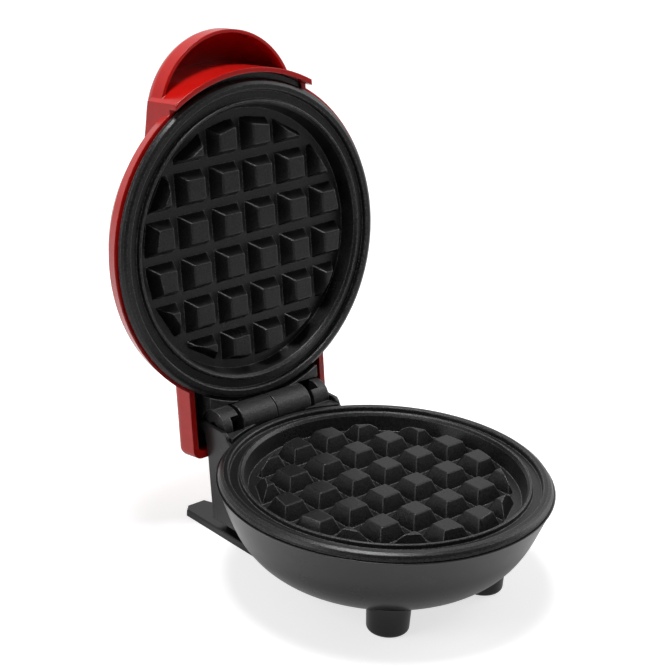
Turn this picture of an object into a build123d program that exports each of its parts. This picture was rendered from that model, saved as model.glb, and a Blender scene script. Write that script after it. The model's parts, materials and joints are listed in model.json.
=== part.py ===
from build123d import *
import math
import os

os.makedirs("parts", exist_ok=True)

# The row frame: X runs along the hinge, -Y is the front, Z is up. The origin
# lies on the table, straight below the middle of the hinge axis.

# Cooking plates, measured from the plane of the stud tops
stud_pitch = 15.5
stud_rows = 6
stud_top_side = 7.6
stud_foot_side = 12.4
stud_height = 5.4
stud_round = 0.7
cavity_floor_radius = 48.4
stud_reach = 42.6
cavity_lip_radius = 50.2
lip_width = 1.4
lip_rise = 1.0
channel_width = 3.7
channel_drop = 0.6
plate_radius = 57.7
flange_overhang = 1.5
flange_edge_drop = 1.25
flange_rise = 1.2
flange_under = 2.2
plate_floor = 2.8
boss_radius = 4.5
boss_circle = 25.0
boss_height = 4.8
boss_count = 3

# Heating element and the pan under each plate
element_circle = 36.0
element_radius = 3.2
element_sunk = 1.8
element_gap_angle = 32.0
element_leg = 6.5
terminal_pin_radius = 1.1
terminal_pin_length = 6.0
pan_sheet = 0.6
pan_lap = 1.7
pan_gap = 1.2
pan_slope_width = 3.4
screw_radius = 1.5
screw_head_radius = 3.0
screw_head_height = 2.0
screw_clearance = 0.05
hole_clearance = 0.3

# Overall places
stud_top_height = 39.4
hinge_to_plate = 65.1
hinge_over_base_studs = 0.9
hinge_over_lid_studs = 1.9
open_angle = 98.7

# Base housing: the bowl and the column behind it
housing_wall = 2.2
seat_gap = 0.5
rim_lip_width = 1.7
rim_drop = 1.6
ledge_width = 4.1
ledge_thickness = 2.2
bowl_floor_drop = 33.8
bowl_floor_radius = 27.0
column_half_width = 27.6
column_front = 44.0
column_bottom_height = 5.3
cheek_wall = 1.4
cheek_rise = 1.4
cheek_front = 9.8
cheek_lip_back = 8.2
back_wall_top_drop = 8.6

# Feet
peg_x = 23.1
peg_y = 28.8
peg_bottom_radius = 7.4
peg_taper = 2.6
peg_round = 1.6
peg_spigot_radius = 3.0
peg_spigot_top = 14.0
foot_plate_half_width = 28.3
foot_plate_thickness = 2.6
foot_plate_front = 47.0
foot_plate_back = 13.9
foot_corner_cut = 2.6
foot_notch_half_width = 16.5
foot_notch_depth = 6.0
foot_neck_inset = 3.6

# Hinge
barrel_radius = 6.5
barrel_end = 16.2
seam_gap = 0.6
ear_inner = 18.0
ear_step = 21.7
ear_outer = 25.3
ear_sector_angle = 52.0
swing_clearance = 0.4
pin_radius = 2.2
pin_clearance = 0.05
pin_end = 25.2
base_deck_drop = 0.1
lid_deck_drop = 0.35
block_side_gap = 0.3
block_front = 14.5
block_plate_gap = 0.4

# Lid shell
lid_rim_drop = 2.0
lid_wall = 2.1
crease_inset = 1.4
crease_drop = 7.4
dome_top_drop = 33.3
skirt_step = 1.2
skirt_wall = 1.8
skirt_rise = 1.7
skirt_side_drop = 17.3
skirt_side_slope = 14.6
handle_centre = 45.0
handle_radius = 31.5
handle_wall = 1.3
handle_rim_drop = 8.8
handle_side_drop = 15.0
handle_top_drop = 25.4
tail_half_width = 32.5
tail_back = 11.9
tail_side_wall = 2.4
tail_end_wall = 2.4
tail_top_wall = 1.8
tail_top_drop = 12.4
tail_round = 3.6
liner_sheet = 1.8
liner_floor_drop = 7.1
liner_edge_gap = 0.15
liner_rib_angles = (-155, -110, -70, -25, 20, 160)

# Fittings inside
thermostat_radius = 8.0
thermostat_height = 6.0
fuse_radius = 2.0
fuse_length = 14.0
terminal_block_size = (26.0, 10.0, 11.0)
gland_hole_radius = 3.3
gland_neck_radius = 5.0
gland_flange_radius = 6.6
gland_flange_thickness = 1.4
gland_height = 15.0
lens_radius = 2.6
lens_flange_radius = 3.4
lens_offset = 30.0
lens_tilt = 8.0

flange_radius = plate_radius + flange_overhang
ledge_inner_radius = plate_radius - ledge_width
rim_radius = plate_radius + seat_gap + rim_lip_width
lid_rim_radius = plate_radius + seat_gap + lid_wall
crease_radius = lid_rim_radius - crease_inset
skirt_inner_radius = lid_rim_radius + skirt_step
skirt_outer_radius = skirt_inner_radius + skirt_wall
skirt_half_width = handle_radius - 0.05
pan_flange_radius = ledge_inner_radius + pan_lap
pan_wall_radius = ledge_inner_radius - pan_gap
pan_floor_radius = pan_wall_radius - pan_slope_width
plate_body_radius = pan_floor_radius + 1.6
block_half_width = column_half_width - cheek_wall - block_side_gap

hinge_height = stud_top_height + hinge_over_base_studs
closed_stud_gap = hinge_over_base_studs + hinge_over_lid_studs
base_frame = Pos(0, -hinge_to_plate, stud_top_height)
lid_closed = Pos(0, -hinge_to_plate, stud_top_height + closed_stud_gap) * Rot(0, 180, 0)
hinge_frame = Pos(0, 0, hinge_height)
lid_frame = hinge_frame * Rot(-open_angle, 0, 0) * Pos(0, 0, -hinge_height) * lid_closed

plate_underside = -stud_height - plate_floor
element_level = plate_underside - element_radius + element_sunk
pan_level = plate_underside - boss_height
ledge_underside = -flange_under - ledge_thickness


def turned(points):
    """A body of revolution about Z from (radius, height) points."""
    return revolve(Plane.XZ * make_face(Polyline(*points, close=True)), Axis.Z)


def disc(radius, low, high, x=0.0, y=0.0):
    return Pos(x, y, (low + high) / 2) * Cylinder(radius, high - low)


def block(x_range, y_range, z_range):
    centre = [(low + high) / 2 for low, high in (x_range, y_range, z_range)]
    sides = [high - low for low, high in (x_range, y_range, z_range)]
    return Pos(*centre) * Box(*sides)


def across(radius, low, high, y, z):
    """A cylinder along X."""
    return Pos((low + high) / 2, y, z) * Rot(0, 90, 0) * Cylinder(radius, high - low)


def side_slab(points, half_width):
    """A (y, z) outline drawn out to both sides of the middle plane."""
    face = Plane.YZ * make_face(Polyline(*points, close=True))
    return extrude(face, half_width, both=True)


def inset(points, wall):
    """Profile points moved inward, square to the line through their neighbours."""
    moved = []
    for index, (radius, height) in enumerate(points):
        before = points[max(index - 1, 0)]
        after = points[min(index + 1, len(points) - 1)]
        run, rise = after[0] - before[0], after[1] - before[1]
        length = math.hypot(run, rise)
        moved.append((radius + wall * rise / length, height - wall * run / length))
    return moved


def around(count, radius, start=90.0):
    """Places evenly spread on a circle."""
    step = 360.0 / count
    angles = [math.radians(start + step * index) for index in range(count)]
    return [(radius * math.cos(angle), radius * math.sin(angle)) for angle in angles]


def plate_ring_points():
    """The plate's section, from the axis out to the flange and back over the channel."""
    lip_out = cavity_lip_radius + lip_width
    channel_out = lip_out + channel_width
    edge = 0.6
    return [
        (0, plate_underside),
        (plate_body_radius, plate_underside),
        (plate_body_radius + 0.7, -flange_under),
        (plate_radius, -flange_under),
        (plate_radius, -flange_edge_drop),
        (flange_radius, -flange_edge_drop),
        (flange_radius - 0.2, -flange_edge_drop / 4),
        (flange_radius - 0.9, flange_rise - edge),
        (flange_radius - 2.0, flange_rise),
        (channel_out + edge / 2, flange_rise),
        (channel_out, flange_rise - edge / 2),
        (channel_out - 0.3, -channel_drop),
        (lip_out + 0.3, -channel_drop),
        (lip_out, lip_rise - edge / 3),
        (lip_out - edge / 3, lip_rise),
        (cavity_lip_radius + edge, lip_rise),
        (cavity_lip_radius - edge / 2, lip_rise - 1.6 * edge),
        (cavity_floor_radius, -stud_height),
        (0, -stud_height),
    ]


def stud():
    """One tapered stud with its top and upright edges eased."""
    foot = Pos(0, 0, -stud_height) * Rectangle(stud_foot_side, stud_foot_side)
    top = Rectangle(stud_top_side, stud_top_side)
    body = loft([foot, top])
    ends = body.edges().group_by(Axis.Z)
    eased = fillet([edge for group in ends[1:] for edge in group], stud_round)
    skirt = Pos(0, 0, -stud_height - 0.5) * Box(stud_foot_side, stud_foot_side, 1.0)
    return eased + skirt


def stud_places():
    middle = (stud_rows - 1) / 2
    places = []
    for row in range(stud_rows):
        for column in range(stud_rows):
            x, y = (column - middle) * stud_pitch, (row - middle) * stud_pitch
            if math.hypot(x, y) < cavity_floor_radius:
                places.append((x, y))
    return places


def boss_places():
    return around(boss_count, boss_circle)


def stud_limit(x, y):
    """The room for one stud near the wall: its outer side is flat, with the studs' own draft."""
    draft = (stud_foot_side - stud_top_side) / 2 / stud_height
    low, high = -stud_height - 0.6, 1.0
    outline = [
        (0, low),
        (stud_reach - draft * low, low),
        (stud_reach - draft * high, high),
        (0, high),
    ]
    face = Plane.XZ * make_face(Polyline(*outline, close=True))
    return Rot(0, 0, math.degrees(math.atan2(y, x))) * extrude(face, stud_pitch, both=True)


def cooking_plate():
    plate = turned(plate_ring_points())
    plate = plate - Pos(0, 0, element_level) * Torus(
        element_circle, element_radius + screw_clearance
    )
    single = stud()
    whole, clipped = [], []
    for x, y in stud_places():
        placed = Pos(x, y, 0) * single
        far = math.hypot(abs(x) + stud_top_side / 2, abs(y) + stud_top_side / 2)
        if far < stud_reach:
            whole.append(placed)
        else:
            clipped.append(placed & stud_limit(x, y))
    plate = plate + whole + clipped
    for x, y in boss_places():
        plate = plate + disc(boss_radius, pan_level, plate_underside + 0.5, x, y)
        plate = plate - disc(screw_radius + screw_clearance, pan_level, pan_level + 6.5, x, y)
    hinge_flat = hinge_to_plate - barrel_radius - swing_clearance
    return plate - block((-30, 30), (hinge_flat, 70), (-flange_under - 1, flange_rise + 1))


def element_ends():
    """Where the two ends of the element turn down, beside the hinge."""
    half = math.radians(element_gap_angle / 2)
    x, y = element_circle * math.sin(half), element_circle * math.cos(half)
    return [(-x, y), (x, y)]


def heating_element():
    ring = Pos(0, 0, element_level) * Rot(0, 0, 90 + element_gap_angle / 2) * revolve(
        Plane.XZ * Pos(element_circle, 0) * Circle(element_radius),
        Axis.Z,
        360 - element_gap_angle,
    )
    for x, y in element_ends():
        ring = ring + Pos(x, y, element_level) * Sphere(element_radius)
        ring = ring + disc(element_radius, element_level - element_leg, element_level, x, y)
        leg_end = element_level - element_leg
        ring = ring + disc(terminal_pin_radius, leg_end - terminal_pin_length, leg_end, x, y)
    return ring


def heat_pan():
    """The pressed sheet that carries the heat back and clamps the plate to its ledge."""
    flange_low = ledge_underside - pan_sheet
    pan = turned([
        (0, pan_level - pan_sheet),
        (pan_floor_radius + 0.5, pan_level - pan_sheet),
        (pan_wall_radius + 0.6, flange_low),
        (pan_flange_radius, flange_low),
        (pan_flange_radius, ledge_underside),
        (pan_wall_radius, ledge_underside),
        (pan_floor_radius, pan_level),
        (0, pan_level),
    ])
    for x, y in boss_places():
        pan = pan - disc(screw_radius + hole_clearance, pan_level - 2, pan_level + 2, x, y)
    for x, y in element_ends():
        pan = pan - disc(element_radius + 0.8, pan_level - 2, pan_level + 2, x, y)
    return pan


def screw(length):
    """A pan-head screw along Z: its head hangs below zero, its shank stands above."""
    head = disc(screw_head_radius, -screw_head_height, 0)
    head = chamfer(head.edges().group_by(Axis.Z)[0], 0.5)
    return head + disc(screw_radius, -0.5, length)


def plate_screws():
    seat = pan_level - pan_sheet
    return [Pos(x, y, seat) * screw(6.0) for x, y in boss_places()]


def round_body(rim, curve):
    """A solid of revolution below a flat rim: straight to the first curve point, then smooth."""
    outline = [
        Line((0, rim[1]), rim),
        Line(rim, curve[0]),
        Spline(*curve),
        Line(curve[-1], (0, rim[1])),
    ]
    return revolve(Plane.XZ * make_face(Curve() + outline), Axis.Z)


def bowl_curve():
    wide = rim_radius - 0.5
    shares = ((1.0, 0.068), (0.944, 0.321), (0.869, 0.596), (0.71, 0.871))
    curve = [(wide * share, -bowl_floor_drop * down) for share, down in shares]
    return curve + [(bowl_floor_radius, -bowl_floor_drop), (0, -bowl_floor_drop - 0.4)]


def bowl_solid():
    return round_body((rim_radius, -rim_drop), bowl_curve())


def bowl_hollow():
    """The room in the bowl, with the ledge that the plate rests on left standing."""
    curve = inset(bowl_curve(), housing_wall)
    top = (curve[0][0] - 0.9, ledge_underside)
    curve[-1] = (0, curve[-2][1] - 0.4)
    room = round_body(top, curve[1:])
    well = disc(ledge_inner_radius, ledge_underside - 1, 1)
    seat = disc(rim_radius - rim_lip_width, -flange_under, 1)
    return room + well + seat


def column_rear_points():
    """The rear edge of the column from its foot up, measured from the hinge axis."""
    low = column_bottom_height - hinge_height
    return [(-3.7, low), (-1.9, -24.2), (-0.6, -16.4), (0.2, -11.3), (1.4, -7.0)]


def column_solid():
    low = column_bottom_height - hinge_height
    lip = cheek_lip_back
    points = [(-column_front, low)] + column_rear_points() + [
        (1.9, -4.7),
        (3.1, -1.9),
        (lip, 0.5),
        (lip, cheek_rise - 0.4),
        (lip - 0.4, cheek_rise),
        (1.4 - cheek_front, cheek_rise),
        (0.2 - cheek_front, 0.3),
        (-0.6 - cheek_front, -1.1),
        (-2.2 - cheek_front, -2.6),
        (-30.0, -24.0),
        (-column_front, low + 5.0),
    ]
    return Pos(0, 0, hinge_height) * side_slab(points, column_half_width)


def column_hollow():
    low = column_bottom_height - hinge_height - 1.0
    rear = [(y - housing_wall, z) for y, z in column_rear_points()]
    rear[0] = (rear[0][0], low)
    front = housing_wall - column_front
    points = [(front, low)] + rear + [(-0.5, 0.0), (-20.0, -6.0), (front, -24.0)]
    return Pos(0, 0, hinge_height) * side_slab(points, column_half_width - cheek_wall)


def hinge_bay():
    """The open bay between the cheeks that takes the base half of the hinge."""
    half = column_half_width - cheek_wall
    low = hinge_height - back_wall_top_drop
    return block((-half, half), (-block_front - 0.2, 12.0), (low, hinge_height + 6))


def foot_post_places():
    return [(side * 18.6, y) for side in (-1, 1) for y in (-12.5, -35.0)]


def peg_places():
    return [(side * peg_x, -hinge_to_plate - peg_y) for side in (-1, 1)]


def hinge_screw_places():
    return [(-barrel_end / 2, -5.2), ((ear_inner + ear_outer) / 2, -5.2)]


def wall_frame():
    """The place and slope of the cord gland on the rear wall."""
    (low_y, low_z), (high_y, high_z) = column_rear_points()[0:2]
    share = (gland_height - hinge_height - low_z) / (high_z - low_z)
    slope = math.degrees(math.atan2(high_y - low_y, high_z - low_z))
    return Pos(0, low_y + share * (high_y - low_y), gland_height) * Rot(-90 - slope, 0, 0)


def base_housing():
    outer = base_frame * bowl_solid() + column_solid()
    shell = outer - base_frame * bowl_hollow() - column_hollow() - hinge_bay()
    half = column_half_width - cheek_wall
    web_top = hinge_height - back_wall_top_drop
    web = block((-half - 0.5, half + 0.5), (-8.6, -0.9), (web_top - 2.0, web_top))
    added = [web]
    for x, y in foot_post_places():
        post = disc(3.4, foot_plate_thickness, 24.0, x, y)
        side = math.copysign(1, x)
        ends = sorted((x, side * (half + 0.5)))
        added.append(post + block(ends, (y - 0.8, y + 0.8), (10.0, 24.0)))
    shell = shell + added
    holes = [wall_frame() * disc(gland_neck_radius + 0.05, -housing_wall - 2, 2)]
    for x, y in foot_post_places():
        holes.append(disc(screw_radius + screw_clearance, 0, 16.0, x, y))
    for x, y in peg_places():
        holes.append(disc(peg_spigot_radius + screw_clearance, 0, 30.0, x, y))
    for x, y in hinge_screw_places():
        holes.append(disc(screw_radius + hole_clearance, web_top - 3, web_top + 1, x, y))
    return shell - holes


def front_feet():
    feet = []
    for x, y in peg_places():
        foot = Pos(x, y, 0) * extrude(Circle(peg_bottom_radius), 16.0, taper=-peg_taper)
        foot = fillet(foot.edges().group_by(Axis.Z)[0], peg_round)
        foot = foot - base_frame * bowl_solid()
        foot = foot + disc(peg_spigot_radius, 5.0, peg_spigot_top, x, y)
        feet.append(foot)
    return feet


def rear_foot():
    """The flat plate under the column, with a neck that reaches up inside it."""
    half = foot_plate_half_width
    cut = foot_corner_cut
    notch = foot_notch_half_width
    back = foot_plate_back
    deep = back - foot_notch_depth
    right = [
        (notch - 2.0, deep),
        (notch, deep + 2.0),
        (notch + 1.6, back),
        (half - cut, back),
        (half, back - cut),
        (half, -foot_plate_front),
    ]
    outline = right + [(-x, y) for x, y in reversed(right)]
    face = make_face(Polyline(*outline, close=True))
    plate = extrude(face, foot_plate_thickness)
    plate = fillet(plate.edges().group_by(Axis.Z)[-1], 0.6)
    inner = foot_neck_inset
    x_side = column_half_width - inner
    y_low, y_high = inner - column_front, column_rear_points()[0][0] - inner
    neck = block((-x_side, x_side), (y_low, y_high), (2.0, 8.0))
    room = block((1.6 - x_side, x_side - 1.6), (y_low + 1.6, y_high - 1.6), (foot_plate_thickness, 9.0))
    plate = plate + (neck - room)
    for x, y in foot_post_places():
        plate = plate - disc(3.7, foot_plate_thickness, 9.0, x, y)
        plate = plate - disc(screw_radius + hole_clearance, -1, 5, x, y)
        plate = plate - disc(screw_head_radius + hole_clearance, -1, 1.2, x, y)
    return plate


def foot_screws():
    drawn = []
    for x, y in foot_post_places():
        head = disc(screw_head_radius, 0.2, 1.2, x, y)
        drawn.append(head + disc(screw_radius, 1.0, 14.0, x, y))
    return drawn


def hinge_half(deck_drop, plate_to_hinge_rise, low):
    """One half of the hinge, seen from its own plate: X along the axis, the plate towards -Y."""
    cup = barrel_radius + swing_clearance
    half_width = block_half_width
    deck = -deck_drop
    y_plate = -hinge_to_plate
    lift = -plate_to_hinge_rise
    body = block((-half_width, half_width), (-block_front, -1.0), (low, deck))
    body = body - across(cup, -half_width - 1, half_width + 1, 0, 0)
    clear = flange_radius + block_plate_gap
    over = disc(clear, lift - flange_under, deck + 1, 0, y_plate)
    under = disc(ledge_inner_radius, lift + ledge_underside, deck + 1, 0, y_plate)
    deep = disc(pan_flange_radius + 0.6, low - 1, lift + ledge_underside, 0, y_plate)
    body = body - [over, under, deep]
    sector = across(barrel_radius, ear_inner, ear_step, 0, 0)
    angle = math.radians(ear_sector_angle)
    wedge = [
        (0, 0),
        (-20 * math.cos(angle), 20 * math.sin(angle)),
        (-20, -20),
        (0, -20),
    ]
    sector = sector & side_slab(wedge, half_width)
    knuckles = [
        across(barrel_radius, -barrel_end, -seam_gap / 2, 0, 0),
        across(barrel_radius, ear_step, ear_outer, 0, 0),
        sector,
    ]
    webs = [
        block((-barrel_end, -seam_gap / 2), (-cup - 0.5, 0), (low, deck)),
        block((ear_inner, ear_outer), (-cup - 0.5, 0), (low, deck)),
    ]
    half = body + knuckles + [web - over for web in webs]
    return half - across(pin_radius + pin_clearance, -half_width - 1, half_width + 1, 0, 0)


def base_hinge():
    half = hinge_frame * hinge_half(base_deck_drop, hinge_over_base_studs, -back_wall_top_drop)
    for x, y in hinge_screw_places():
        half = half - disc(screw_radius + screw_clearance, 20, hinge_height - 3.6, x, y)
    return half


def lid_hinge():
    low = -liner_floor_drop - hinge_over_lid_studs
    half = Pos(0, hinge_to_plate, hinge_over_lid_studs) * hinge_half(
        lid_deck_drop, hinge_over_lid_studs, low
    )
    for x, y in hinge_screw_places():
        top = hinge_over_lid_studs - 4.0
        half = half - disc(screw_radius + screw_clearance, -20, top, x, hinge_to_plate + y)
    return half


def hinge_pin():
    pin = across(pin_radius, -pin_end, pin_end, 0, hinge_height)
    ends = pin.edges().filter_by(GeomType.CIRCLE)
    return chamfer(ends, 0.4)


def low_screw(length):
    """A screw along Z with a flat head, for the narrow room behind the hinge halves."""
    return disc(screw_head_radius, -0.9, 0) + disc(screw_radius, -0.5, length)


def base_hinge_screws():
    seat = hinge_height - back_wall_top_drop - 2.0
    return [Pos(x, y, seat) * low_screw(6.0) for x, y in hinge_screw_places()]


def lid_hinge_screws():
    seat = -liner_floor_drop - liner_sheet
    return [
        Pos(x, y + hinge_to_plate, seat) * low_screw(6.0) for x, y in hinge_screw_places()
    ]


def dome_curve():
    shares = (
        (1, 0),
        (0.9185, 0.2548),
        (0.7997, 0.6139),
        (0.5789, 0.8803),
        (0.3056, 0.9768),
        (0, 1),
    )
    deep = dome_top_drop - crease_drop
    return [(crease_radius * share, -crease_drop - deep * down) for share, down in shares]


def dome_solid():
    outline = [
        Line((0, -lid_rim_drop), (lid_rim_radius, -lid_rim_drop)),
        Line((lid_rim_radius, -lid_rim_drop), (crease_radius, -crease_drop)),
        Spline(*dome_curve()),
        Line((0, -dome_top_drop), (0, -lid_rim_drop)),
    ]
    return revolve(Plane.XZ * make_face(Curve() + outline), Axis.Z)


def dome_hollow():
    curve = inset(dome_curve(), lid_wall)
    curve[-1] = (0, lid_wall - dome_top_drop)
    return round_body((lid_rim_radius - lid_wall, -lid_rim_drop + 1), curve)


def front_part(radius, half_width, low, high):
    """The part of a disc that lies ahead of the plate's middle."""
    return disc(radius, low, high) & block((-half_width, half_width), (-80, -35), (low, high))


def skirt_part(radius, half_width, wall, high):
    """The upright arc ahead of the plate; its sides get shallower towards the front."""
    slope = math.tan(math.radians(skirt_side_slope))
    low = [wall - skirt_side_drop - slope * (y + handle_centre) for y in (-80, -35)]
    outline = [(-80, low[0]), (-35, low[1]), (-35, high), (-80, high)]
    return disc(radius, -40, high) & side_slab(outline, half_width)


def skirt_solid():
    return skirt_part(skirt_outer_radius, skirt_half_width, 0, skirt_rise)


def skirt_hollow():
    half = skirt_half_width - lid_wall
    return skirt_part(skirt_inner_radius, half, lid_wall, skirt_rise + 1)


def handle_curve():
    shares = (
        (1, 0),
        (0.972, 0.25),
        (0.9, 0.53),
        (0.775, 0.8),
        (0.54, 0.96),
        (0.27, 0.995),
        (0, 1),
    )
    deep = handle_top_drop - handle_side_drop
    return [(handle_radius * share, -handle_side_drop - deep * down) for share, down in shares]


def handle_solid(curve, high):
    """The round hood of the handle, up to the given height."""
    return Pos(0, -handle_centre, 0) * round_body((curve[0][0], high), curve)


def handle_hollow():
    """The finger room under the hood, and the room behind it that the skirt wall closes off."""
    curve = inset(handle_curve(), handle_wall)
    curve[-1] = (0, handle_wall - handle_top_drop)
    low = -handle_top_drop
    wall = disc(skirt_outer_radius, low, 6.0) - disc(skirt_inner_radius, low - 1, 7.0)
    return handle_solid(curve, 5.0) - wall


def tail_solid(wall_side, wall_end, wall_top, high):
    half = tail_half_width - wall_side
    back = hinge_to_plate + tail_back - wall_end
    body = block((-half, half), (20.0, back), (-tail_top_drop + wall_top, high))
    rear = body.edges().filter_by(Axis.Z).group_by(Axis.Y)[-1]
    body = fillet(rear, tail_round - wall_side / 2)
    top = body.edges().group_by(Axis.Z)[0].filter_by(lambda edge: edge.center().Y > 21)
    return fillet(top, tail_round - wall_side / 2 - 0.1)


def lid_shell():
    hood = handle_solid(handle_curve(), -handle_rim_drop)
    tail = tail_solid(0, 0, 0, -lid_rim_drop)
    outer = dome_solid() + [skirt_solid(), hood, tail]
    hollow_tail = tail_solid(tail_side_wall, tail_end_wall, tail_top_wall, 0)
    over_rim = disc(skirt_inner_radius, -lid_rim_drop, skirt_rise + 1)
    seat = disc(lid_rim_radius - lid_wall, ledge_underside, 0)
    hollows = [dome_hollow(), skirt_hollow(), hollow_tail, seat, over_rim, handle_hollow()]
    shell = outer - hollows
    reach = skirt_inner_radius + skirt_wall / 2
    rib = block((pan_flange_radius + 0.7, reach), (-0.8, 0.8), (-12.0, ledge_underside))
    shell = shell + [(Rot(0, 0, angle) * rib) & outer for angle in liner_rib_angles]
    low = -liner_floor_drop - liner_sheet
    wall = tail_half_width - tail_side_wall
    for side in (-1, 1):
        ends = sorted((side * (wall - 2.4), side * (wall + 1.0)))
        shell = shell + block(ends, (58.0, 70.0), (-tail_top_drop + 1.0, low))
    return shell - lens_frame() * disc(lens_radius + screw_clearance, -10, 10)


def lens_frame():
    """A spot on the top of the dome, with Z pointing into the lid."""
    return Pos(0, -lens_offset, -30.95) * Rot(-lens_tilt, 0, 0)


def lid_liner():
    inner = ledge_inner_radius
    outer = lid_rim_radius - lid_wall - liner_edge_gap
    ring = disc(outer, ledge_underside, -flange_under)
    fill_half = skirt_half_width - lid_wall - liner_edge_gap
    fill = front_part(skirt_inner_radius - liner_edge_gap, fill_half, ledge_underside, -3.0)
    liner = ring + (fill - disc(outer - 1, -6, -flange_under))
    floor_low = -liner_floor_drop - liner_sheet
    half = tail_half_width - tail_side_wall - liner_edge_gap
    back = hinge_to_plate + tail_back - tail_end_wall - liner_edge_gap
    floor = block((-half, half), (40.0, back), (floor_low, -liner_floor_drop))
    rear = floor.edges().filter_by(Axis.Z).group_by(Axis.Y)[-1]
    floor = fillet(rear, tail_round - tail_side_wall / 2)
    wall = disc(outer, floor_low, ledge_underside) & block((-half, half), (40, 60), (-20, 0))
    liner = liner + floor + wall
    liner = liner - disc(inner, floor_low - 1, 0)
    liner = liner - disc(pan_flange_radius + 0.6, floor_low - 1, ledge_underside)
    half = block_half_width
    liner = liner - block(
        (-half, half), (hinge_to_plate - block_front, hinge_to_plate + 4), (-liner_floor_drop, 0)
    )
    for x, y in hinge_screw_places():
        liner = liner - disc(
            screw_radius + hole_clearance, floor_low - 1, 0, x, hinge_to_plate + y
        )
    return liner


def indicator_lens():
    """A clear domed lens, with a flange that sits against the inside of the lid."""
    head = disc(lens_radius, -0.9, 4.0)
    head = fillet(head.edges().group_by(Axis.Z)[0], 0.7)
    return lens_frame() * (head + disc(lens_flange_radius, 2.45, 3.6))


def indicator_lamp():
    return lens_frame() * (disc(1.6, 4.0, 9.5) + disc(2.0, 9.5, 11.0))


def thermostat():
    under = pan_level - pan_sheet
    body = disc(thermostat_radius, under - thermostat_height, under)
    cap = disc(thermostat_radius - 2.0, under - thermostat_height - 1.6, under - thermostat_height)
    tabs = [
        block((x - 1.6, x + 1.6), (-0.4, 0.4), (under - 12.0, under - 3.0)) for x in (-4.0, 4.0)
    ]
    return body + cap + tabs


def thermal_fuse():
    under = pan_level - pan_sheet
    middle = thermostat_radius + 7.0
    strap = block(
        (-fuse_length / 2, fuse_length / 2), (middle - 3.0, middle + 3.0), (under - 0.6, under)
    )
    body = across(fuse_radius, -fuse_length / 2 + 1, fuse_length / 2 - 1, middle, under - 2.0)
    return strap + body


def terminal_block():
    length, width, height = terminal_block_size
    top = foot_plate_thickness + height
    body = block((-length / 2, length / 2), (-29.0, width - 29.0), (foot_plate_thickness, top))
    for x in (-8.0, 0.0, 8.0):
        body = body - across(1.6, x - 2.8, x + 2.8, width / 2 - 29.0, top - 4.0)
        body = body - disc(2.0, top - 4.0, top + 1, x, width / 2 - 29.0)
    return body


def cord_gland():
    """A flanged bush through the rear wall; its own Z points outward."""
    ring = disc(gland_flange_radius, 0, gland_flange_thickness)
    ring = chamfer(ring.edges().group_by(Axis.Z)[-1], 0.5)
    neck = disc(gland_neck_radius, -housing_wall - 1.2, 0.1)
    back = disc(gland_neck_radius + 0.9, -housing_wall - 1.6, -housing_wall)
    bush = ring + neck + back - disc(gland_hole_radius, -8, 8)
    return wall_frame() * bush


def main():
    plate = cooking_plate()
    element = heating_element()
    pan = heat_pan()
    pan_screws = Compound(children=plate_screws())
    base_parts = {
        "base_housing": base_housing(),
        "front_feet": Compound(children=front_feet()),
        "rear_foot": rear_foot(),
        "foot_screws": Compound(children=foot_screws()),
        "lower_plate": base_frame * plate,
        "lower_element": base_frame * element,
        "lower_pan": base_frame * pan,
        "lower_plate_screws": base_frame * pan_screws,
        "base_hinge": base_hinge(),
        "base_hinge_screws": Compound(children=base_hinge_screws()),
        "hinge_pin": hinge_pin(),
        "thermostat": base_frame * thermostat(),
        "thermal_fuse": base_frame * thermal_fuse(),
        "terminal_block": terminal_block(),
        "cord_gland": cord_gland(),
    }
    lid_parts = {
        "lid_shell": lid_shell(),
        "lid_liner": lid_liner(),
        "lid_hinge": lid_hinge(),
        "lid_hinge_screws": Compound(children=lid_hinge_screws()),
        "upper_plate": plate,
        "upper_element": element,
        "upper_pan": pan,
        "upper_plate_screws": pan_screws,
        "indicator_lens": indicator_lens(),
        "indicator_lamp": indicator_lamp(),
    }
    for name, shape in base_parts.items():
        export_step(shape, f"parts/{name}.step")
    for name, shape in lid_parts.items():
        export_step(lid_frame * shape, f"parts/{name}.step")


main()
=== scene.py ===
import json
import math

import bmesh
import bpy
from mathutils import Matrix, Vector


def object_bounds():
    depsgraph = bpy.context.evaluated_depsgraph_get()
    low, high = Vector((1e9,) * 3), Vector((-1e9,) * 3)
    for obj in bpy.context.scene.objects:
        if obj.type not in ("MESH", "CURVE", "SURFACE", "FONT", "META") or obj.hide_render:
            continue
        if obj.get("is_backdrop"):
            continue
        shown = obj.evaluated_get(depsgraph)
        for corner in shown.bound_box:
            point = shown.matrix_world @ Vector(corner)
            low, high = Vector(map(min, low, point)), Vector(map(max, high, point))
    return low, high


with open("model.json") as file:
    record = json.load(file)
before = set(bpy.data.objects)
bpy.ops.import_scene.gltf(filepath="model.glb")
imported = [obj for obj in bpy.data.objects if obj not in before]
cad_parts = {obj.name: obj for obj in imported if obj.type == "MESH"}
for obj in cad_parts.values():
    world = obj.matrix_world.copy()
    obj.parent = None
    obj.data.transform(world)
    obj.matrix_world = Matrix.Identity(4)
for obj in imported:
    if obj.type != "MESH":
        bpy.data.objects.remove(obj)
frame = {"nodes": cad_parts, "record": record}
nodes = frame["nodes"]


def asLists(value):
    return [asLists(part) if hasattr(part, "__len__") else float(part) for part in value]


sizeBefore = asLists(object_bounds())
print("frame loaded:", len(nodes), "nodes")

# effects that several materials share

groupSocketTypes = {"float": "NodeSocketFloat", "vector": "NodeSocketVector"}


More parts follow.
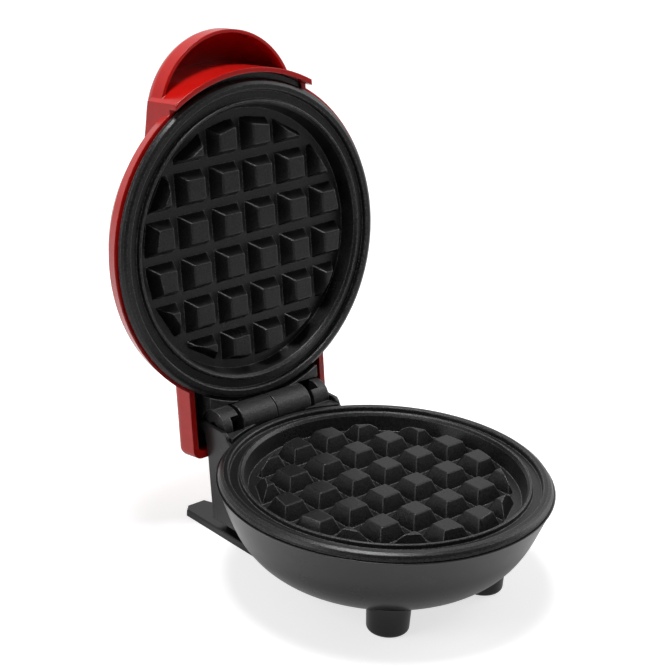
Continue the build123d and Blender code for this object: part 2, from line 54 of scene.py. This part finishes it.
def newGroup(name, inputs, outputs):
    tree = bpy.data.node_groups.new(name, "ShaderNodeTree")
    for label, kind, value in inputs:
        socket = tree.interface.new_socket(name=label, in_out="INPUT",
                                           socket_type=groupSocketTypes[kind])
        if value is not None:
            socket.default_value = value
    for label, kind in outputs:
        tree.interface.new_socket(name=label, in_out="OUTPUT",
                                  socket_type=groupSocketTypes[kind])
    source = tree.nodes.new("NodeGroupInput")
    target = tree.nodes.new("NodeGroupOutput")
    return tree, source, target


def addNode(tree, kind, **settings):
    node = tree.nodes.new(kind)
    for key, value in settings.items():
        setattr(node, key, value)
    return node


def feed(tree, value, socket):
    # another node's output is linked, and a plain number is set
    if isinstance(value, bpy.types.NodeSocket):
        tree.links.new(value, socket)
    else:
        socket.default_value = value


def mapRange(tree, value, fromRange, toRange):
    node = addNode(tree, "ShaderNodeMapRange")
    feed(tree, value, node.inputs["Value"])
    feed(tree, fromRange[0], node.inputs["From Min"])
    feed(tree, fromRange[1], node.inputs["From Max"])
    feed(tree, toRange[0], node.inputs["To Min"])
    feed(tree, toRange[1], node.inputs["To Max"])
    return node.outputs["Result"]


def addNoise(tree, scale, detail):
    # noise that is fixed to the piece itself
    coords = addNode(tree, "ShaderNodeTexCoord")
    noise = addNode(tree, "ShaderNodeTexNoise")
    tree.links.new(coords.outputs["Object"], noise.inputs["Vector"])
    feed(tree, scale, noise.inputs["Scale"])
    feed(tree, detail, noise.inputs["Detail"])
    return noise


grainValues = {"scale": 900.0, "depth": 0.00003, "strength": 0.4, "detail": 3.0,
               "coarseness": 0.6, "maskRange": (0.35, 0.65)}


def makeGrain():
    # fine cast or spark-eroded grain as a bump, and the same grain as a mask
    tree, source, target = newGroup(
        "fineGrain",
        [("Scale", "float", grainValues["scale"]), ("Depth", "float", grainValues["depth"]),
         ("Strength", "float", grainValues["strength"]), ("Normal", "vector", None)],
        [("Normal", "vector"), ("Mask", "float")])
    noise = addNoise(tree, source.outputs["Scale"], grainValues["detail"])
    feed(tree, grainValues["coarseness"], noise.inputs["Roughness"])
    bump = addNode(tree, "ShaderNodeBump")
    tree.links.new(source.outputs["Depth"], bump.inputs["Distance"])
    tree.links.new(source.outputs["Strength"], bump.inputs["Strength"])
    tree.links.new(source.outputs["Normal"], bump.inputs["Normal"])
    tree.links.new(noise.outputs["Fac"], bump.inputs["Height"])
    tree.links.new(bump.outputs["Normal"], target.inputs["Normal"])
    mask = mapRange(tree, noise.outputs["Fac"], grainValues["maskRange"], (0.0, 1.0))
    tree.links.new(mask, target.inputs["Mask"])
    return tree


patchValues = {"scale": 22.0, "detail": 5.0, "distortion": 0.4, "noiseRange": (0.3, 0.7)}


def makePatches():
    # broad soft patches, as of handling and settling
    tree, source, target = newGroup(
        "softPatches",
        [("Scale", "float", patchValues["scale"]), ("Low", "float", 0.0),
         ("High", "float", 1.0)],
        [("Value", "float")])
    noise = addNoise(tree, source.outputs["Scale"], patchValues["detail"])
    feed(tree, patchValues["distortion"], noise.inputs["Distortion"])
    value = mapRange(tree, noise.outputs["Fac"], patchValues["noiseRange"],
                     (source.outputs["Low"], source.outputs["High"]))
    tree.links.new(value, target.inputs["Value"])
    return tree


# settings for the mask of the painted edge highlight
paintedGlintValues = {"scale": 1400.0, "speckle": 0.5, "detail": 2.0, "turnRange": (0.995, 0.93),
              "spotRange": (0.42, 0.6)}


def makePaintedGlint():
    # a mask that is 1 on eased edges, broken up by fine speckle; it places a painted highlight,
    # glints that lighten the base colour there
    tree, source, target = newGroup(
        "paintedEdgeGlint",
        [("Normal", "vector", None), ("Scale", "float", paintedGlintValues["scale"]),
         ("Speckle", "float", paintedGlintValues["speckle"])],
        [("Mask", "float")])
    geometry = addNode(tree, "ShaderNodeNewGeometry")
    turn = addNode(tree, "ShaderNodeVectorMath", operation="DOT_PRODUCT")
    tree.links.new(source.outputs["Normal"], turn.inputs[0])
    tree.links.new(geometry.outputs["Normal"], turn.inputs[1])
    edge = mapRange(tree, turn.outputs["Value"], paintedGlintValues["turnRange"], (0.0, 1.0))
    noise = addNoise(tree, source.outputs["Scale"], paintedGlintValues["detail"])
    spots = mapRange(tree, noise.outputs["Fac"], paintedGlintValues["spotRange"], (0.0, 1.0))
    keep = addNode(tree, "ShaderNodeMix", data_type="FLOAT")
    feed(tree, 1.0, keep.inputs["A"])
    tree.links.new(source.outputs["Speckle"], keep.inputs["Factor"])
    tree.links.new(spots, keep.inputs["B"])
    both = addNode(tree, "ShaderNodeMath", operation="MULTIPLY")
    tree.links.new(edge, both.inputs[0])
    tree.links.new(keep.outputs["Result"], both.inputs[1])
    tree.links.new(both.outputs["Value"], target.inputs["Mask"])
    return tree


grain = makeGrain()
patches = makePatches()
paintedGlintGroup = makePaintedGlint()
print("shared effects made")

# materials


def useGroup(tree, group, **values):
    node = addNode(tree, "ShaderNodeGroup", node_tree=group)
    for key, value in values.items():
        node.inputs[key].default_value = value
    return node


def startMaterial(name):
    mat = bpy.data.materials.new(name)
    mat.use_nodes = True
    tree = mat.node_tree
    tree.nodes.clear()
    out = addNode(tree, "ShaderNodeOutputMaterial")
    shader = addNode(tree, "ShaderNodeBsdfPrincipled")
    tree.links.new(shader.outputs["BSDF"], out.inputs["Surface"])
    return mat, tree, shader


bevelSamples = 6


def makeSolid(values):
    # one moulded, cast or pressed material: eased edges, grain, and patches in its gloss, and
    # where an edge colour is given, a painted highlight on its edges
    mat, tree, shader = startMaterial(values["name"])
    shader.inputs["Metallic"].default_value = values.get("metallic", 0.0)
    shader.inputs["Specular IOR Level"].default_value = values.get("specular", 0.5)
    shader.inputs["Coat Weight"].default_value = values.get("coat", 0.0)
    shader.inputs["Coat Roughness"].default_value = values.get("coatRoughness", 0.05)
    bevel = addNode(tree, "ShaderNodeBevel", samples=bevelSamples)
    bevel.inputs["Radius"].default_value = values["edge"]
    grainNode = useGroup(tree, grain, Scale=values["grainScale"], Depth=values["grainDepth"],
                         Strength=values["grainStrength"])
    tree.links.new(bevel.outputs["Normal"], grainNode.inputs["Normal"])
    tree.links.new(grainNode.outputs["Normal"], shader.inputs["Normal"])
    tree.links.new(bevel.outputs["Normal"], shader.inputs["Coat Normal"])
    patchNode = useGroup(tree, patches, Low=values["roughness"][0], High=values["roughness"][1])
    tree.links.new(patchNode.outputs["Value"], shader.inputs["Roughness"])
    mix = addNode(tree, "ShaderNodeMix", data_type="RGBA")
    mix.inputs["A"].default_value = (*values["color"], 1)
    mix.inputs["B"].default_value = (*values["grainColor"], 1)
    tree.links.new(grainNode.outputs["Mask"], mix.inputs["Factor"])
    color = mix.outputs["Result"]
    # painted highlight: eased edges are made lighter in the base colour, as painted glints of the
    # lamps
    if "paintedGlintColor" in values:
        glintMaskNode = useGroup(tree, paintedGlintGroup, Scale=values["grainScale"], Speckle=values["speckle"])
        tree.links.new(bevel.outputs["Normal"], glintMaskNode.inputs["Normal"])
        glintMix = addNode(tree, "ShaderNodeMix", data_type="RGBA")
        glintMix.inputs["B"].default_value = (*values["paintedGlintColor"], 1)
        tree.links.new(glintMaskNode.outputs["Mask"], glintMix.inputs["Factor"])
        tree.links.new(color, glintMix.inputs["A"])
        color = glintMix.outputs["Result"]
    tree.links.new(color, shader.inputs["Base Color"])
    return mat


lidPlastic = {"name": "redGlossPlastic", "color": (0.5, 0.008, 0.0055),
              "grainColor": (0.46, 0.007, 0.005), "roughness": (0.17, 0.24), "edge": 0.0006,
              "grainScale": 260.0, "grainDepth": 0.00002, "grainStrength": 0.05,
              "coat": 0.08, "coatRoughness": 0.12, "specular": 0.33}
housingPlastic = {"name": "darkGlossPlastic", "color": (0.0095, 0.0095, 0.01),
                  "grainColor": (0.0075, 0.0075, 0.008), "roughness": (0.25, 0.32),
                  "edge": 0.0006, "grainScale": 300.0, "grainDepth": 0.00002,
                  "grainStrength": 0.06, "specular": 0.5}
# the lighter edge colour here is a painted highlight, glints along the stud edges
plateCoat = {"name": "nonStickCoat", "color": (0.003, 0.003, 0.0035),
             "grainColor": (0.021, 0.021, 0.022), "roughness": (0.26, 0.34), "edge": 0.0005,
             "grainScale": 1700.0, "grainDepth": 0.00009, "grainStrength": 0.8,
             "specular": 0.32, "paintedGlintColor": (0.16, 0.16, 0.16), "speckle": 0.8}
# the lighter edge colour here is a painted highlight, glints along the hinge edges
hingePlastic = {"name": "satinBlackPlastic", "color": (0.008, 0.008, 0.009),
                "grainColor": (0.035, 0.035, 0.036), "roughness": (0.27, 0.35),
                "edge": 0.0005, "grainScale": 1300.0, "grainDepth": 0.0001,
                "grainStrength": 0.9, "specular": 0.5, "paintedGlintColor": (0.09, 0.09, 0.09),
                "speckle": 0.7}
pinMetal = {"name": "blackOxide", "color": (0.02, 0.02, 0.021), "grainColor": (0.03, 0.03, 0.03),
            "roughness": (0.3, 0.4), "edge": 0.0002, "grainScale": 1200.0,
            "grainDepth": 0.00001, "grainStrength": 0.2, "metallic": 1.0}
steel = {"name": "platedSteel", "color": (0.6, 0.6, 0.61), "grainColor": (0.5, 0.5, 0.51),
         "roughness": (0.25, 0.35), "edge": 0.0002, "grainScale": 900.0,
         "grainDepth": 0.00001, "grainStrength": 0.2, "metallic": 1.0}
sheath = {"name": "dullSheath", "color": (0.4, 0.39, 0.38), "grainColor": (0.3, 0.29, 0.28),
          "roughness": (0.4, 0.55), "edge": 0.0002, "grainScale": 700.0,
          "grainDepth": 0.00002, "grainStrength": 0.3, "metallic": 1.0}
sheetMetal = {"name": "pressedSheet", "color": (0.7, 0.7, 0.71), "grainColor": (0.6, 0.6, 0.61),
              "roughness": (0.3, 0.42), "edge": 0.0002, "grainScale": 400.0,
              "grainDepth": 0.00002, "grainStrength": 0.2, "metallic": 1.0}
ceramic = {"name": "glazedCeramic", "color": (0.7, 0.68, 0.62), "grainColor": (0.66, 0.64, 0.58),
           "roughness": (0.35, 0.45), "edge": 0.0003, "grainScale": 500.0,
           "grainDepth": 0.00002, "grainStrength": 0.2}
rubber = {"name": "matteRubber", "color": (0.012, 0.012, 0.012), "grainColor": (0.02, 0.02, 0.02),
          "roughness": (0.6, 0.75), "edge": 0.0003, "grainScale": 1300.0,
          "grainDepth": 0.00003, "grainStrength": 0.4}
lensPlastic = {"name": "redLens", "color": (0.6, 0.05, 0.03), "grainColor": (0.55, 0.04, 0.03),
               "roughness": (0.08, 0.14), "edge": 0.0002, "grainScale": 300.0,
               "grainDepth": 0.00001, "grainStrength": 0.05, "coat": 0.5}

slotValues = {"housing": housingPlastic, "lid": lidPlastic, "plate": plateCoat,
              "hinge": hingePlastic, "pin": pinMetal, "steel": steel, "element": sheath,
              "sheet": sheetMetal, "ceramic": ceramic, "gland": rubber, "lens": lensPlastic,
              "lamp": ceramic}

# each node is dressed by the slot that its record gives
slotMaterials = {slot: makeSolid(values) for slot, values in slotValues.items()}
for part in frame["record"]["subparts"]:
    mesh = nodes[part["node"]].data
    mesh.materials.clear()
    mesh.materials.append(slotMaterials[part["material_slot"]])
print("materials set")

# stage

floorValues = {"side": 6.0, "color": (0.6, 0.6, 0.6), "roughness": 0.9, "specular": 0.1,
               "liftSeen": 0.7, "liftMirrored": 0.32}


def byRay(tree, seen, mirrored, other):
    # one value for camera rays, one for mirrored rays and rays through glass, one for the rest
    path = addNode(tree, "ShaderNodeLightPath")
    larger = addNode(tree, "ShaderNodeMath", operation="MAXIMUM")
    tree.links.new(path.outputs["Is Glossy Ray"], larger.inputs[0])
    tree.links.new(path.outputs["Is Transmission Ray"], larger.inputs[1])
    value = mapRange(tree, larger.outputs["Value"], (0.0, 1.0), (other, mirrored))
    mix = addNode(tree, "ShaderNodeMix", data_type="FLOAT")
    mix.inputs["B"].default_value = seen
    tree.links.new(path.outputs["Is Camera Ray"], mix.inputs["Factor"])
    tree.links.new(value, mix.inputs["A"])
    return mix.outputs["Result"]


def makeFloor():
    mesh = bpy.data.meshes.new("floor")
    bm = bmesh.new()
    bmesh.ops.create_grid(bm, x_segments=2, y_segments=2, size=floorValues["side"] / 2)
    bm.to_mesh(mesh)
    bm.free()
    floor = bpy.data.objects.new("floor", mesh)
    bpy.context.scene.collection.objects.link(floor)
    mat, tree, shader = startMaterial("paleFloor")
    shader.inputs["Base Color"].default_value = (*floorValues["color"], 1)
    shader.inputs["Roughness"].default_value = floorValues["roughness"]
    shader.inputs["Specular IOR Level"].default_value = floorValues["specular"]
    shader.inputs["Emission Color"].default_value = (1, 1, 1, 1)
    # lit a little from within, so that it fades into the white behind it
    lift = byRay(tree, floorValues["liftSeen"], floorValues["liftMirrored"], 0.0)
    tree.links.new(lift, shader.inputs["Emission Strength"])
    mesh.materials.append(mat)
    floor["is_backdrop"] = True


makeFloor()

worldValues = {"seen": 1.0, "mirrored": 0.7, "cast": 0.38, "darkSide": (-0.62, -0.78, 0.0),
               "fade": (-0.45, 0.6), "darkest": 0.08}


def makeWorld():
    # white all round, but dim behind the camera
    world = bpy.data.worlds.new("studio")
    bpy.context.scene.world = world
    world.use_nodes = True
    tree = world.node_tree
    tree.nodes.clear()
    out = addNode(tree, "ShaderNodeOutputWorld")
    sky = addNode(tree, "ShaderNodeBackground")
    sky.inputs["Color"].default_value = (1, 1, 1, 1)
    coords = addNode(tree, "ShaderNodeTexCoord")
    side = addNode(tree, "ShaderNodeVectorMath", operation="DOT_PRODUCT")
    side.inputs[1].default_value = worldValues["darkSide"]
    tree.links.new(coords.outputs["Generated"], side.inputs[0])
    shade = mapRange(tree, side.outputs["Value"], worldValues["fade"],
                     (1.0, worldValues["darkest"]))
    path = addNode(tree, "ShaderNodeLightPath")
    shown = addNode(tree, "ShaderNodeMath", operation="MAXIMUM")
    tree.links.new(path.outputs["Is Camera Ray"], shown.inputs[0])
    tree.links.new(shade, shown.inputs[1])
    strength = addNode(tree, "ShaderNodeMath", operation="MULTIPLY")
    level = byRay(tree, worldValues["seen"], worldValues["mirrored"], worldValues["cast"])
    tree.links.new(shown.outputs["Value"], strength.inputs[0])
    tree.links.new(level, strength.inputs[1])
    tree.links.new(strength.outputs["Value"], sky.inputs["Strength"])
    tree.links.new(sky.outputs["Background"], out.inputs["Surface"])


makeWorld()

lightValues = [
    {"name": "topBox", "place": (-0.05, 0.0, 1.0), "aim": (0, -0.02, 0.08),
     "size": (0.3, 0.3), "power": 7.5},
    {"name": "leftBox", "place": (-1.0, 0.15, 0.5), "aim": (0, -0.02, 0.08),
     "size": (0.5, 0.8), "power": 4.0},
    {"name": "rightBox", "place": (0.9, -0.3, 0.5), "aim": (0, -0.05, 0.08),
     "size": (0.5, 0.8), "power": 3.0},
]


def makeLight(values):
    data = bpy.data.lights.new(values["name"], "AREA")
    data.shape = "RECTANGLE"
    data.size, data.size_y = values["size"]
    data.energy = values["power"]
    lamp = bpy.data.objects.new(values["name"], data)
    lamp.location = values["place"]
    toward = Vector(values["aim"]) - Vector(values["place"])
    lamp.rotation_euler = toward.to_track_quat("-Z", "Y").to_euler()
    bpy.context.scene.collection.objects.link(lamp)


for values in lightValues:
    makeLight(values)
print("lights set")

# camera

cameraValues = {"place": (-0.4352, -0.5030, 0.3508), "azimuth": -42.83, "elevation": 22.695,
                "roll": 2.925, "lens": 106.13, "sensor": 36.0, "nearest": 0.01}


def makeCamera():
    # stands where the photograph was taken from, with the same slight tilt
    azimuth = math.radians(cameraValues["azimuth"])
    elevation = math.radians(cameraValues["elevation"])
    roll = math.radians(cameraValues["roll"])
    back = Vector((math.sin(azimuth) * math.cos(elevation),
                   -math.cos(azimuth) * math.cos(elevation), math.sin(elevation)))
    right = Vector((math.cos(azimuth), math.sin(azimuth), 0))
    up = back.cross(right)
    rolledRight = right * math.cos(roll) + up * math.sin(roll)
    rolledUp = up * math.cos(roll) - right * math.sin(roll)
    data = bpy.data.cameras.new("photoCamera")
    data.sensor_width = cameraValues["sensor"]
    data.sensor_fit = "HORIZONTAL"
    data.lens = cameraValues["lens"]
    data.clip_start = cameraValues["nearest"]
    camera = bpy.data.objects.new("photoCamera", data)
    turn = Matrix((rolledRight, rolledUp, back)).transposed()
    camera.matrix_world = Matrix.Translation(cameraValues["place"]) @ turn.to_4x4()
    bpy.context.scene.collection.objects.link(camera)
    bpy.context.scene.camera = camera


makeCamera()
bpy.context.scene.view_settings.view_transform = "Standard"
print("camera set")

sizeAfter = asLists(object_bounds())
